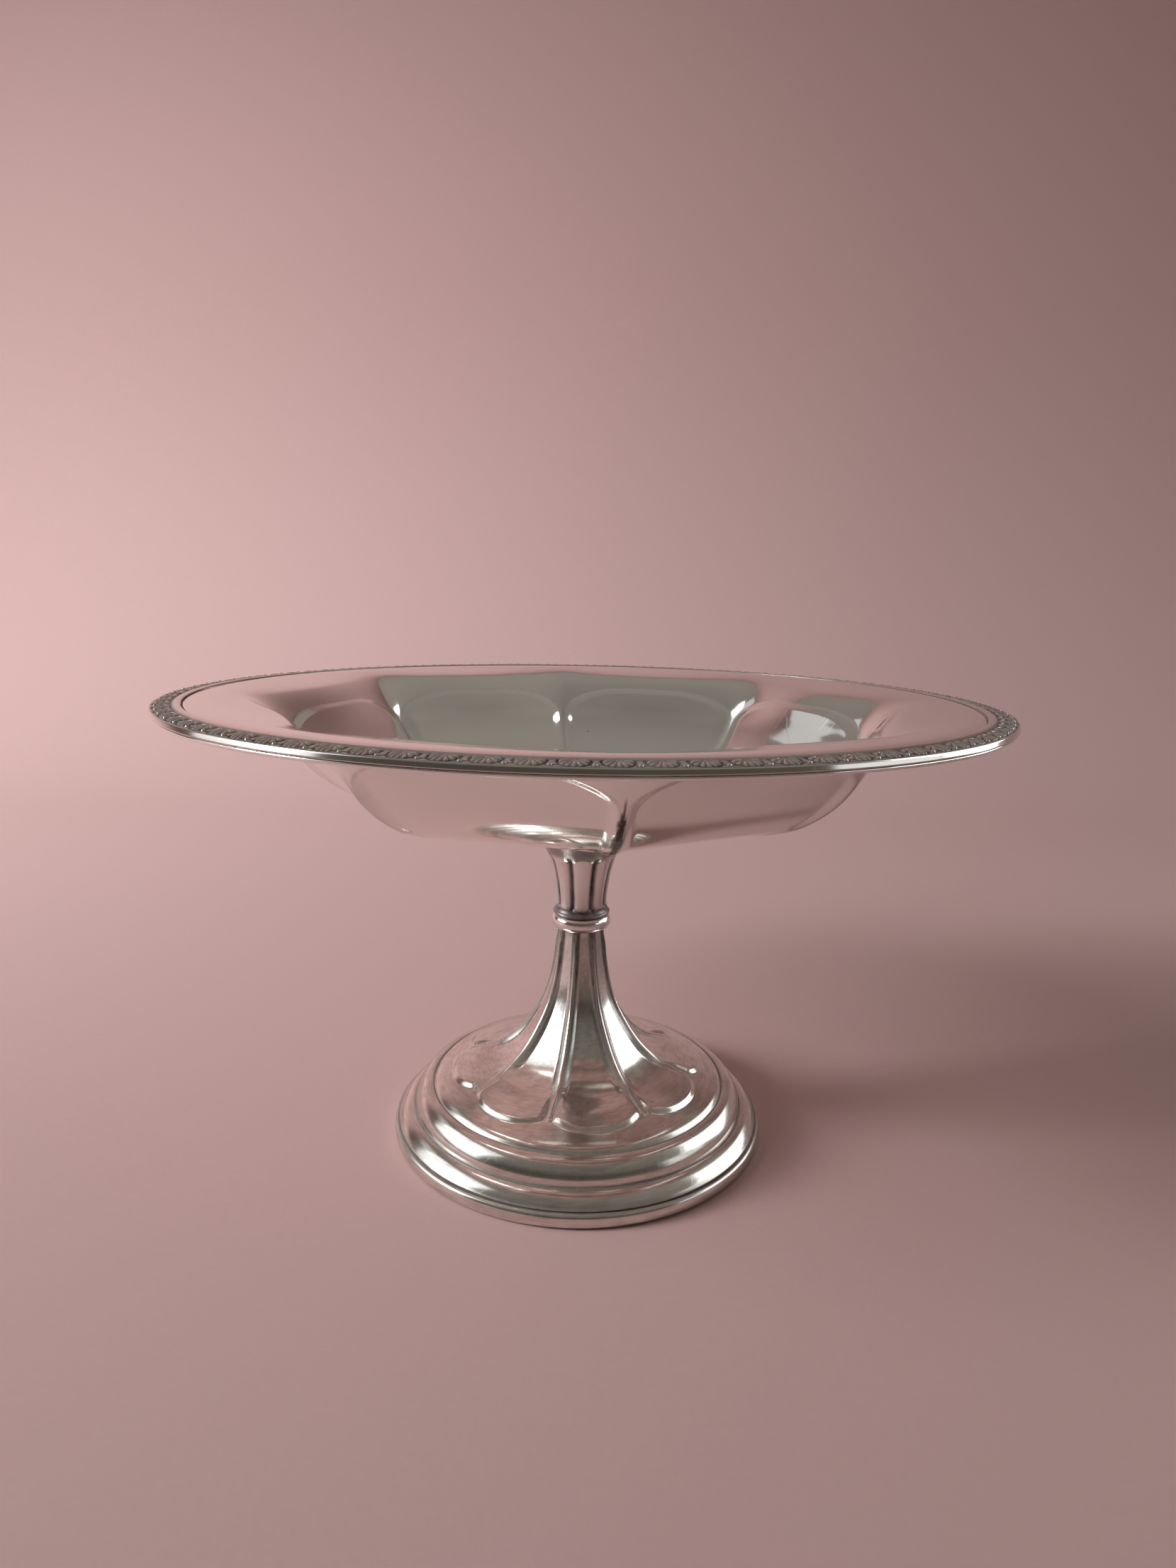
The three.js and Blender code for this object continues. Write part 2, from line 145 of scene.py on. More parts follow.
# ------------------------------------------------------------------- materials
class Nodes:
    """Short hand for building a material's node tree."""

    def __init__(self, name):
        self.mat = bpy.data.materials.new(name)
        self.mat.use_nodes = True
        self.t = self.mat.node_tree
        self.t.nodes.clear()
        self.out = self.t.nodes.new("ShaderNodeOutputMaterial")
        self.bsdf = self.t.nodes.new("ShaderNodeBsdfPrincipled")
        self.t.links.new(self.bsdf.outputs[0], self.out.inputs[0])
        self.coord = self.t.nodes.new("ShaderNodeTexCoord").outputs["Object"]

    def link(self, a, b):
        self.t.links.new(a, b)

    def put(self, socket, v):
        if isinstance(v, bpy.types.NodeSocket):
            self.link(v, socket)
        else:
            socket.default_value = v

    def mapped(self, scale=(1, 1, 1), rot=(0, 0, 0), loc=(0, 0, 0)):
        n = self.t.nodes.new("ShaderNodeMapping")
        n.inputs["Scale"].default_value = scale
        n.inputs["Rotation"].default_value = rot
        n.inputs["Location"].default_value = loc
        self.link(self.coord, n.inputs["Vector"])
        return n.outputs[0]

    def noise(self, scale, detail=3.0, rough=0.5, vec=None, distortion=0.0):
        n = self.t.nodes.new("ShaderNodeTexNoise")
        n.inputs["Scale"].default_value = scale
        n.inputs["Detail"].default_value = detail
        n.inputs["Roughness"].default_value = rough
        n.inputs["Distortion"].default_value = distortion
        self.link(vec or self.coord, n.inputs["Vector"])
        return n.outputs[0]

    def rings(self, kr, kz, ka):
        """Coordinates that follow turning marks: fine across radius and height, slow round the axis."""
        flat = self.mapped((1, 1, 0))
        ln = self.t.nodes.new("ShaderNodeVectorMath")
        ln.operation = "LENGTH"
        self.link(flat, ln.inputs[0])
        unit = self.t.nodes.new("ShaderNodeVectorMath")
        unit.operation = "NORMALIZE"
        self.link(flat, unit.inputs[0])
        a = self.t.nodes.new("ShaderNodeSeparateXYZ")
        self.link(unit.outputs[0], a.inputs[0])
        h = self.t.nodes.new("ShaderNodeSeparateXYZ")
        self.link(self.coord, h.inputs[0])
        c = self.t.nodes.new("ShaderNodeCombineXYZ")
        around = [self.math("MULTIPLY", a.outputs[i], ka) for i in ("X", "Y")]
        self.link(self.math("ADD", self.math("MULTIPLY", ln.outputs["Value"], kr), around[0]), c.inputs[0])
        self.link(self.math("ADD", self.math("MULTIPLY", h.outputs["Z"], kz), around[1]), c.inputs[1])
        self.link(self.math("SUBTRACT", around[0], around[1]), c.inputs[2])
        return c.outputs[0]

    def voronoi(self, scale, vec=None, feature="F1"):
        n = self.t.nodes.new("ShaderNodeTexVoronoi")
        n.feature = feature
        n.inputs["Scale"].default_value = scale
        self.link(vec or self.coord, n.inputs["Vector"])
        return n.outputs["Distance"]

    def ramp(self, fac, stops, mode="LINEAR"):
        n = self.t.nodes.new("ShaderNodeValToRGB")
        n.color_ramp.interpolation = mode
        e = n.color_ramp.elements
        while len(e) > 1:
            e.remove(e[-1])
        e[0].position, c = stops[0]
        e[0].color = c if isinstance(c, tuple) else (c, c, c, 1)
        for pos, c in stops[1:]:
            x = e.new(pos)
            x.color = c if isinstance(c, tuple) else (c, c, c, 1)
        self.link(fac, n.inputs[0])
        return n.outputs[0]

    def math(self, op, a, b=None, clamp=False):
        n = self.t.nodes.new("ShaderNodeMath")
        n.operation = op
        n.use_clamp = clamp
        self.put(n.inputs[0], a)
        if b is not None:
            self.put(n.inputs[1], b)
        return n.outputs[0]

    def mix(self, fac, a, b, kind="RGBA", blend="MIX"):
        n = self.t.nodes.new("ShaderNodeMix")
        n.data_type = kind
        if kind == "RGBA":
            n.blend_type = blend
            i, o = (n.inputs[0], n.inputs[6], n.inputs[7]), n.outputs[2]
        else:
            i, o = (n.inputs[0], n.inputs[2], n.inputs[3]), n.outputs[0]
        for s, v in zip(i, (fac, a, b)):
            self.put(s, v)
        return o

    def attr(self, name):
        n = self.t.nodes.new("ShaderNodeAttribute")
        n.attribute_name = name
        return n.outputs["Fac"]

    def bump(self, height, strength, distance, normal=None):
        n = self.t.nodes.new("ShaderNodeBump")
        n.inputs["Strength"].default_value = strength
        n.inputs["Distance"].default_value = distance
        self.link(height, n.inputs["Height"])
        if normal is not None:
            self.link(normal, n.inputs["Normal"])
        return n.outputs[0]


def silver(name, clean=(0.93, 0.905, 0.87), dull=(0.86, 0.81, 0.74), stain_and_shade=(0.13, 0.085, 0.05), rough=0.085, stain_gain=1.0, haze=1.0, turned_marks=0.0):
    k = Nodes(name)
    b = k.bsdf
    cloud = k.noise(16.0, 4.0, 0.6)
    fine = k.noise(140.0, 3.0, 0.6)
    grain = k.noise(900.0, 2.0, 0.5)
    # hair scratches, two directions
    s1 = k.ramp(k.noise(1.0, 2.0, 0.5, k.mapped((900, 26, 60), (0.3, 0.1, 0.7))), [(0.0, 0.0), (0.655, 0.0), (0.69, 1.0), (0.72, 0.0)])
    s2 = k.ramp(k.noise(1.0, 2.0, 0.5, k.mapped((40, 1100, 30), (0.2, 0.5, 2.1))), [(0.0, 0.0), (0.665, 0.0), (0.695, 1.0), (0.72, 0.0)])
    scratch = k.math("MAXIMUM", s1, s2)
    # pin specks
    speck = k.ramp(k.voronoi(85.0, k.mapped((1, 1, 1), (0, 0, 0), (0.3, 0.1, 0.7))), [(0.0, 1.0), (0.035, 1.0), (0.06, 0.0)])
    speck = k.math("MULTIPLY", speck, k.ramp(k.noise(22.0, 2.0), [(0.0, 0.0), (0.56, 0.0), (0.64, 1.0)]))
    # the mesh attribute read here holds tarnish together with painted shade and painted reflection; the stain colour
    # is painted where it is high
    tarnish_and_shade = k.attr("tarnish_and_shade")
    mask = k.math("MULTIPLY", tarnish_and_shade, k.ramp(fine, [(0.25, 0.72), (0.62, 1.0)]))
    mask = k.math("MULTIPLY", mask, stain_gain, clamp=True)
    base = k.mix(k.ramp(cloud, [(0.36, 0.0), (0.74, 0.6)]), (*clean, 1), (*dull, 1))
    base = k.mix(k.math("MULTIPLY", speck, 0.75), base, (0.16, 0.11, 0.07, 1))
    # the stain colour stands for tarnish and also for painted shade and painted reflection where the mask carries
    # them
    base = k.mix(mask, base, (*stain_and_shade, 1))
    if turned_marks:
        rings = k.ramp(k.noise(1.0, 3.0, 0.65, k.rings(1300.0, 1300.0, 5.0)), [(0.40, 0.0), (0.68, 1.0)])
        wipes = k.ramp(k.noise(1.0, 3.0, 0.6, k.rings(330.0, 330.0, 6.0)), [(0.42, 0.0), (0.70, 1.0)])
        base = k.mix(k.math("MULTIPLY", k.math("ADD", rings, wipes), 0.30 * turned_marks), base, (dull[0] * 0.55, dull[1] * 0.52, dull[2] * 0.48, 1))
    k.link(base, b.inputs["Base Color"])
    k.link(k.math("SUBTRACT", 1.0, k.math("MULTIPLY", mask, 0.7)), b.inputs["Metallic"])
    r = k.math("MULTIPLY_ADD", k.ramp(cloud, [(0.35, 0.0), (0.75, 1.0)]), 0.035 * haze)
    r.node.inputs[2].default_value = rough
    r = k.math("ADD", r, k.math("MULTIPLY", scratch, 0.08))
    r = k.math("ADD", r, k.math("MULTIPLY", grain, 0.02))
    if turned_marks:
        r = k.math("ADD", r, k.math("MULTIPLY", rings, 0.05 * turned_marks))
    r = k.mix(mask, r, 0.42, "FLOAT")
    k.link(r, b.inputs["Roughness"])
    n = k.bump(k.noise(34.0, 2.0, 0.5), 0.16, 0.00022)
    n = k.bump(scratch, 0.10, 0.00002, n)
    k.link(n, b.inputs["Normal"])
    return k.mat


def brass(name):
    k = Nodes(name)
    b = k.bsdf
    b.inputs["Metallic"].default_value = 1.0
    ring = k.noise(1.0, 2.0, 0.5, k.mapped((60, 60, 1400)))
    base = k.mix(k.ramp(k.noise(160.0, 4.0), [(0.35, 0.0), (0.7, 1.0)]), (0.70, 0.52, 0.25, 1), (0.42, 0.28, 0.12, 1))
    k.link(base, b.inputs["Base Color"])
    k.link(k.math("ADD", k.math("MULTIPLY", ring, 0.25), 0.2), b.inputs["Roughness"])
    k.link(k.bump(ring, 0.25, 0.00005), b.inputs["Normal"])
    return k.mat


def steel(name):
    k = Nodes(name)
    b = k.bsdf
    b.inputs["Metallic"].default_value = 1.0
    streak = k.noise(1.0, 3.0, 0.6, k.mapped((900, 900, 12)))
    rust = k.ramp(k.noise(240.0, 5.0, 0.65), [(0.5, 0.0), (0.68, 0.8)])
    k.link(k.mix(rust, (0.42, 0.43, 0.44, 1), (0.20, 0.11, 0.06, 1)), b.inputs["Base Color"])
    k.link(k.math("ADD", k.math("MULTIPLY", streak, 0.3), 0.25), b.inputs["Roughness"])
    k.link(k.bump(streak, 0.2, 0.00004), b.inputs["Normal"])
    return k.mat


def plaster(name):
    k = Nodes(name)
    b = k.bsdf
    n = k.noise(180.0, 6.0, 0.7)
    k.link(k.mix(n, (0.16, 0.14, 0.12, 1), (0.34, 0.31, 0.27, 1)), b.inputs["Base Color"])
    k.link(k.math("ADD", k.math("MULTIPLY", n, 0.2), 0.75), b.inputs["Roughness"])
    k.link(k.bump(n, 0.6, 0.0006), b.inputs["Normal"])
    return k.mat


def felt(name):
    k = Nodes(name)
    b = k.bsdf
    fibre = k.noise(1500.0, 4.0, 0.7, None, 1.5)
    mott = k.noise(70.0, 3.0, 0.6)
    base = k.mix(k.ramp(fibre, [(0.3, 0.0), (0.7, 1.0)]), (0.030, 0.060, 0.042, 1), (0.075, 0.125, 0.090, 1))
    base = k.mix(k.math("MULTIPLY", k.ramp(mott, [(0.4, 0.0), (0.7, 1.0)]), 0.35), base, (0.10, 0.13, 0.10, 1))
    k.link(base, b.inputs["Base Color"])
    b.inputs["Roughness"].default_value = 0.95
    b.inputs["Sheen Weight"].default_value = 0.35
    k.link(k.bump(fibre, 0.7, 0.0004), b.inputs["Normal"])
    return k.mat


def fibre(name):
    k = Nodes(name)
    b = k.bsdf
    n = k.noise(500.0, 5.0, 0.65)
    k.link(k.mix(n, (0.16, 0.09, 0.05, 1), (0.33, 0.22, 0.13, 1)), b.inputs["Base Color"])
    k.link(k.math("ADD", k.math("MULTIPLY", n, 0.25), 0.6), b.inputs["Roughness"])
    k.link(k.bump(n, 0.4, 0.0002), b.inputs["Normal"])
    return k.mat


M_BOWL = silver("silver_bowl", clean=(0.975, 0.955, 0.93), dull=(0.89, 0.855, 0.81), stain_and_shade=(0.050, 0.028, 0.013), rough=0.06)
M_BORDER = silver("silver_border", clean=(0.80, 0.765, 0.72), dull=(0.66, 0.61, 0.55), stain_and_shade=(0.040, 0.028, 0.020), rough=0.10)
M_STEM = silver("silver_stem", clean=(0.92, 0.875, 0.86), dull=(0.78, 0.72, 0.70), stain_and_shade=(0.026, 0.018, 0.017), rough=0.075, turned_marks=0.25)
M_FOOT = silver("silver_foot", clean=(0.865, 0.838, 0.80), dull=(0.66, 0.61, 0.545), stain_and_shade=(0.050, 0.034, 0.022), rough=0.125, turned_marks=1.0)
M_PLAIN = silver("silver_plain", clean=(0.72, 0.69, 0.64), dull=(0.55, 0.50, 0.43), stain_and_shade=(0.12, 0.08, 0.05), rough=0.34, haze=2.0)

# ------------------------------------------------------------------------ bowl
RIB0 = 5.9
RECESS, SHOULDER, CORNER, SQUASH, TOP_Z, RIB_HALF = 1.6, 3.4, 29.0, 2.4, 139.1, 0.55
RECESS_IN, SHOULDER_IN = 1.1, 4.6
BOWL = [(0, 106.0), (17, 106.0), (30, 106.3), (44, 107.4), (54, 109.1), (60, 110.7), (65, 111.9), (69.7, 113.1), (72.8, 114.1),
        (76.3, 115.5), (80.1, 117.8), (83.4, 120.2), (86.6, 123.0), (89.3, 126.0), (92.3, 130.4), (94.4, 134.2), (97.0, 138.2),
        (100, 141.6), (104, 144.1), (108.5, 145.1), (113, 145.6), (116.5, 145.7), (119.5, 145.2), (122.5, 144.5), (126, 143.6)]
SHEET = 1.0


def panel_columns(n, start):
    """n columns for each 45 degree sector, closer together near its edges, in degrees."""
    t = np.arange(n) / n
    u = 0.45 * t + 0.55 * (1 - np.cos(math.pi * t)) / 2
    return np.concatenate([start + 45 * (k + u) for k in range(8)])


def bowl_wall(s, az, s_top, recess, shoulder):
    """Radius and height of the bowl's under side at arc s (m) and azimuth az (n), with the profile normals, the
    distance from the rib across the panel, the distance inside the panel outline and the fade towards the foot.
    """
    p, nrm = curve(BOWL, s)
    r, z = p[:, 0][:, None], p[:, 1][:, None]
    u = ((az[None, :] - RIB0) / 45) % 1.0
    t = 1 - np.abs(2 * u - 1)
    half = np.maximum(r * 22.5 * RAD, 1e-6)
    x = t * half
    low = smooth((r - 34) / 24)
    tau = (0.7 + 9.5 * smooth((z - 127) / 10)) / half
    ts = (np.sqrt(t * t + tau * tau) - tau) / (np.sqrt(1 + tau * tau) - tau)
    chord = 0.0761 * r * (1 - (1 - ts) ** 2) * smooth((145.75 - z) / 2.2)
    dx = x - RIB_HALF
    dt = (s_top - s)[:, None] * SQUASH + 0 * dx
    corner = (dx < CORNER) & (dt < CORNER)
    d = np.where(corner, CORNER - np.hypot(CORNER - dx, CORNER - dt), np.minimum(dx, dt))
    depth = (chord + recess * smooth(d / shoulder)) * low
    return r - depth, z, nrm, x, d, low


s_all = np.linspace(0, curve_length(BOWL), 3000)
p_all = curve(BOWL, s_all)[0]
s_top = s_all[np.argmax(p_all[:, 1] >= TOP_Z)]
s_of_r = lambda r: np.interp(r, p_all[:, 0], s_all)
s_end = s_all[-1]
s_rows = np.unique(np.concatenate([
    np.linspace(s_of_r(8), s_of_r(34), 8), np.linspace(s_of_r(34), s_of_r(68), 24), np.linspace(s_of_r(68), s_of_r(113), 116),
    np.linspace(s_of_r(113), s_end, 14)]))
az_bowl = panel_columns(68, RIB0)


def bowl_side(offset):
    r, z, nrm, x, d, low = bowl_wall(s_rows, az_bowl, s_top, *((RECESS, SHOULDER) if offset == 0 else (RECESS_IN, SHOULDER_IN)))
    rr = r - nrm[:, 0][:, None] * offset
    zz = z - nrm[:, 1][:, None] * offset + 0 * rr
    wall = smooth((zz - 108.5) / 4) * (1 - smooth((zz - 128) / 7))
    az = az_bowl[None, :] + 0 * rr
    seed = 0.5 + 0.5 * np.sin(az * 3.1 + 1.3) * np.sin(az * 0.77 + 0.4)
    if offset == 0:
        front = np.exp(-(((az - RIB0 + 180) % 360 - 180) / 8.0) ** 2)
        ragged = 1 + 0.16 * np.sin(zz * 0.9 + 0.6) + 0.10 * np.sin(zz * 2.3 + az) + 0.07 * np.sin(zz * 5.0 + 2)
        skew = np.where(((az - RIB0 + 180) % 360 - 180) < 0, 1.25, 0.8)
        tarnish_and_shade = np.clip(1.5 * np.exp(-(x / (0.36 * ragged * skew)) ** 2), 0, 1) * wall * (0.22 + 0.47 * seed) * low * (1 - front)
        streak = 1.30 * ragged * skew * smooth((zz - 107.5) / 11) * (1 - smooth((zz - 119) / 15)) ** 0.8
        tarnish_and_shade = np.maximum(tarnish_and_shade, (1 - smooth((x - streak + 0.25) / 0.5)) * front * low * smooth((zz - 108) / 2) * (1 - smooth((zz - 131) / 3)))
    else:
        tarnish_and_shade = 0.55 * np.exp(-(x / 1.0) ** 2) * wall * low * (0.4 + 0.6 * seed)
    tarnish_and_shade = np.maximum(tarnish_and_shade, 0.28 * np.exp(-((d - 0.3) / 0.55) ** 2) * low * (0.4 + 0.6 * seed))
    return polar(rr, az, zz), tarnish_and_shade


out_g, out_t = bowl_side(0.0)
in_g, in_t = bowl_side(SHEET)
# rounded sheet edge
edge_p, edge_n = curve(BOWL, [s_end])
mid = edge_p[0] - edge_n[0] * SHEET / 2
tng = np.array([-edge_n[0][1], edge_n[0][0]])
edge = []
for a in np.linspace(0, math.pi, 7)[1:-1]:
    q = mid + edge_n[0] * SHEET / 2 * math.cos(a) + tng * 0.35 * math.sin(a)
    edge.append(polar(np.full((1, len(az_bowl)), q[0]), az_bowl[None, :], np.full((1, len(az_bowl)), q[1])))
edge = np.concatenate(edge)
bowl = make_mesh("bowl_sheet", np.concatenate([out_g, edge, in_g[::-1]]), pole_first=(0, 0, 106.0 * MM), pole_last=(0, 0, 107.0 * MM),
                 attrs={"tarnish_and_shade": np.concatenate([out_t, np.zeros(edge.shape[:2]), in_t[::-1]])}, body="bowl", replaces="bowl",
                 slot="polished_silver", material=M_BOWL)

# ---------------------------------------------------------------- rim border
N_MOTIF, COLS, MOTIF_AZ = 90, 40, 0.96
PITCH = 2 * math.pi * 123.4 / N_MOTIF


def motif(x, y):
    """Relief height and stain of the border's repeat, mm: x along the rim from a shell's centre, y outwards across the band."""
    # shell: ribs that spread outwards from a hinge on the inner side
    ax, ay, y0 = 2.95, 3.9, 0.55
    yy = y - y0
    th = np.arctan2(x / ax, np.maximum(yy, 1e-6) / ay)
    q = th / math.pi * 7
    ribs = 0.5 + 0.5 * np.cos(2 * math.pi * q)
    rho = (np.abs(x / ax) ** 2.5 + np.abs(yy / ay) ** 2.5) ** 0.4
    edge = 1.0 + 0.05 * ribs - rho
    shell = np.minimum(edge * 3.2, (yy + 0.22) * 1.6)
    rim_rib = np.exp(-((np.abs(q) - 3.0) / 0.35) ** 2)
    fan = smooth(rho / 0.45)
    shell_h = np.sqrt(np.clip(shell / 0.8, 0, 1)) * (0.08 + 0.27 * ribs * fan + 0.10 * rim_rib * fan)
    hinge = 1 - np.hypot(x / 0.75, (yy - 0.25) / 0.42)
    shell_h = np.maximum(shell_h, 0.30 * np.sqrt(np.clip(hinge, 0, 1)))
    # bead between two shells and a small nick after it
    xb = (x - 0.465 * PITCH + PITCH / 2) % PITCH - PITCH / 2
    rb = np.hypot(xb, y - 4.05)
    bead_h = 0.44 * np.sqrt(np.clip(1 - (rb / 0.52) ** 2, 0, 1))
    nick = 1 - np.hypot((xb - 1.15) / 0.45, (y - 3.9) / 0.26)
    body = np.maximum(shell_h, bead_h)
    ring = np.exp(-((rb - 0.66) / 0.13) ** 2)
    groove = np.maximum(np.exp(-((shell + 0.32) / 0.30) ** 2), ring)
    h = np.where(body > 0.02, body, -0.24 * groove) - 0.16 * np.sqrt(np.clip(nick, 0, 1))
    valley = (1 - ribs) ** 1.5 * fan * (shell > 0.05)
    dark = np.clip(1.05 * groove * (body < 0.1) + 0.75 * valley + 0.9 * np.sqrt(np.clip(nick, 0, 1)) + 0.42 * (body < 0.02), 0, 1)
    return h, dark


nx = N_MOTIF * COLS
col_az = MOTIF_AZ + np.arange(nx) * (360.0 / nx)
x_loc = (np.arange(nx) % COLS) / COLS * PITCH + 0.465 * PITCH                 # a bead stands at MOTIF_AZ
x_loc = (x_loc + PITCH / 2) % PITCH - PITCH / 2
top = [(118.68, 146.50), (118.72, 146.66), (118.86, 146.82), (119.1, 146.93), (119.45, 146.985), (119.85, 147.0), (120.2, 146.96), (120.5, 146.86), (120.72, 146.74),
       (120.88, 146.65)]
outer = [(126.22, 146.10), (126.28, 146.02), (126.36, 146.08), (126.46, 146.09), (126.56, 146.06), (126.64, 145.96), (126.69, 145.80), (126.75, 145.54), (126.81, 145.28), (126.87, 145.04), (126.91, 144.86),
         (126.88, 144.74), (126.7, 144.68), (126.4, 144.66), (125.0, 145.05), (122.6, 145.66), (121.0, 146.04), (119.8, 146.32), (119.0, 146.46)]
band_y = np.linspace(0.0, 5.15, 36)
slope = math.atan2(146.17 - 146.60, 126.15 - 121.0)
rows, stains = [], []
for r, z in top:
    rows.append(polar(np.full(nx, r), col_az, np.full(nx, z)))
    stains.append(np.full(nx, 0.7 if r > 120.6 or z < 146.7 else 0.0))
for y in band_y:
    h, dark = motif(x_loc, np.full(nx, y))
    ends = smooth(y / 0.3) * smooth((5.15 - y) / 0.3)
    h = h * ends
    rows.append(polar(121.0 + y * math.cos(slope) - h * math.sin(slope), col_az, 146.60 + y * math.sin(slope) + h * math.cos(slope)))
    stains.append(np.clip(0.16 + dark * ends + 0.55 * math.exp(-(y / 0.3) ** 2) + 0.5 * math.exp(-((y - 5.15) / 0.16) ** 2), 0, 1))
for r, z in outer:
    rows.append(polar(np.full(nx, r), col_az, np.full(nx, z)))
    stains.append(np.full(nx, 0.75 if r < 126.3 and z > 146.0 else (0.5 if z < 144.70 or r < 126.0 else 0.0)))
border = make_mesh("rim_border_cast", np.stack(rows), closed=True, attrs={"tarnish_and_shade": np.stack(stains)}, body="bowl", replaces="rim_border",
                   slot="border_silver", material=M_BORDER)

# ----------------------------------------------------------------------- calyx
CALYX = [(7.4, 71.6), (7.4, 74.1), (7.6, 74.45), (8.5, 74.48), (9.0, 74.5), (9.3, 74.7), (9.35, 75.0), (9.15, 75.35), (8.8, 75.7), (8.55, 76.3), (8.4, 77.6), (9.05, 85.3), (11.0, 93.2),
         (11.8, 95.3), (14.3, 100.0), (17.0, 104.5), (18.2, 105.6)]
CALYX_GROOVE, WALL = 23.6, 1.1
az_cal = panel_columns(32, CALYX_GROOVE)


def calyx_side(s, offset):
    p, nrm = curve(CALYX, s)
    r, z = p[:, 0][:, None], p[:, 1][:, None]
    t = 1 - np.abs(2 * (((az_cal[None, :] - CALYX_GROOVE) / 45) % 1.0) - 1)
    half = r * 22.5 * RAD
    x = t * half
    tau = 0.22 / half
    ts = (np.sqrt(t * t + tau * tau) - tau) / (np.sqrt(1 + tau * tau) - tau)
    # round lobes between grooves, closed by round ends below and under a plain flared cup
    grow = smooth((z - 75.9) / 2.2) * smooth((95.0 - z) / 2.2)
    end = smooth((z - 76.1 - 1.4 * (1 - t) ** 2) / 1.2) * smooth((94.6 - 0.9 * (1 - t) ** 2 - z) / 1.4)
    deep = 0.17 * r
    rr = r - deep * (1 - np.sqrt(1 - 0.95 * (1 - ts) ** 2)) * grow - 0.18 * (1 - end) * smooth((z - 75.8) / 0.8) * smooth((96.2 - z) / 1.4) - nrm[:, 0][:, None] * offset
    zz = z - nrm[:, 1][:, None] * offset + 0 * rr
    groove = np.exp(-(x / 1.0) ** 3)
    # darker on the base flange below the lobes and a little towards the lobes' lower ends; the flared cup under the
    # bowl is darkened as painted shade and painted reflection of the bowl's under side; the grooves between the lobes
    # carry tarnish
    tarnish_and_shade = (0.88 * (1 - smooth((zz - 76.4) / 1.6)) + 0.62 * smooth((zz - 94.1 + 1.1 * (1 - t) ** 2) / 2.4)
            + 0.97 * groove * smooth((zz - 75.6) / 1.5) * (1 - smooth((zz - 94.6) / 1.2)) + 0.16 * (1 - smooth((zz - 77) / 12)) * smooth((zz - 75.6) / 1))
    return polar(rr, az_cal[None, :] + 0 * rr, zz), np.clip(tarnish_and_shade, 0, 1)


c_len = curve_length(CALYX)
s_c = np.concatenate([np.linspace(0, 9.0, 46), np.linspace(9.0, 25.0, 60)[1:], np.linspace(25.0, c_len, 24)[1:]])
c_out, c_t = calyx_side(s_c, 0)
c_in, _ = calyx_side(np.linspace(13.0, c_len - 0.8, 14), WALL)
n_c = len(az_cal)
bore = np.stack([polar(np.full(n_c, 5.9), az_cal, np.full(n_c, z)) for z in (79.0, 76.0, 71.9)] + [polar(np.full(n_c, 6.2), az_cal, np.full(n_c, 71.6))])
calyx = make_mesh("calyx_lobed", np.concatenate([c_out, c_in[::-1], bore]), closed=True,
                  attrs={"tarnish_and_shade": np.concatenate([c_t, np.full(c_in.shape[:2], 0.4), np.full(bore.shape[:2], 0.4)])},
                  body="pedestal", replaces="calyx", slot="polished_silver", material=M_STEM)


# -------------------------------------------------------------- turned pieces
def turned(name, section, cols, stain_and_shade, **kw):
    az = np.linspace(0, 360, cols, endpoint=False)
    rows = np.stack([polar(np.full(cols, r), az, np.full(cols, z)) for r, z in section])
    tarnish_and_shade = np.stack([np.full(cols, stain_and_shade(r, z)) for r, z in section])
    return make_mesh(name, rows, closed=True, attrs={"tarnish_and_shade": tarnish_and_shade}, **kw)


def rounded(section, radius, steps=4):
    """Rounds the corners of a closed section."""
    P = np.asarray(section, float)
    out = []
    for i in range(len(P)):
        a, b, c = P[i - 1], P[i], P[(i + 1) % len(P)]
        u, v = a - b, c - b
        k = min(radius, 0.45 * np.linalg.norm(u), 0.45 * np.linalg.norm(v))
        p0, p2 = b + u / np.linalg.norm(u) * k, b + v / np.linalg.norm(v) * k
        for t in np.linspace(0, 1, steps + 1):
            out.append(tuple((1 - t) ** 2 * p0 + 2 * t * (1 - t) * b + t * t * p2))
    return out


th = np.linspace(-math.pi / 2 * 1.02, math.pi / 2 * 1.02, 26)
knop_sec = [(7.75 + 2.1 * math.cos(a) ** 0.8 if math.cos(a) > 0 else 7.75, 71.95 + 2.4 * math.sin(a)) for a in th]
knop = turned("knop_bead", knop_sec, 160, lambda r, z: 0.75 * math.exp(-((r - 7.75) / 0.7) ** 2), body="pedestal", replaces="knop_ring",
              slot="polished_silver", material=M_STEM)

ring_sec = [(60.3, 4.85), (60.8, 4.83), (61.25, 4.68), (61.6, 4.38), (61.85, 3.9), (62.0, 3.2), (62.05, 2.3), (61.98, 1.5), (61.75, 0.9), (61.35, 0.5), (60.9, 0.36),
            (60.2, 0.35), (59.4, 0.38), (58.9, 0.7), (58.7, 1.3), (58.7, 2.8), (58.7, 4.2), (58.9, 4.7), (59.4, 4.85)]
foot_ring = turned("foot_bead", ring_sec, 320, lambda r, z: 0.8 * math.exp(-((z - 4.9) / 0.35) ** 2) + (0.35 if z < 0.7 else 0.0), body="pedestal",
                   replaces="foot_ring", slot="polished_silver", material=M_FOOT)

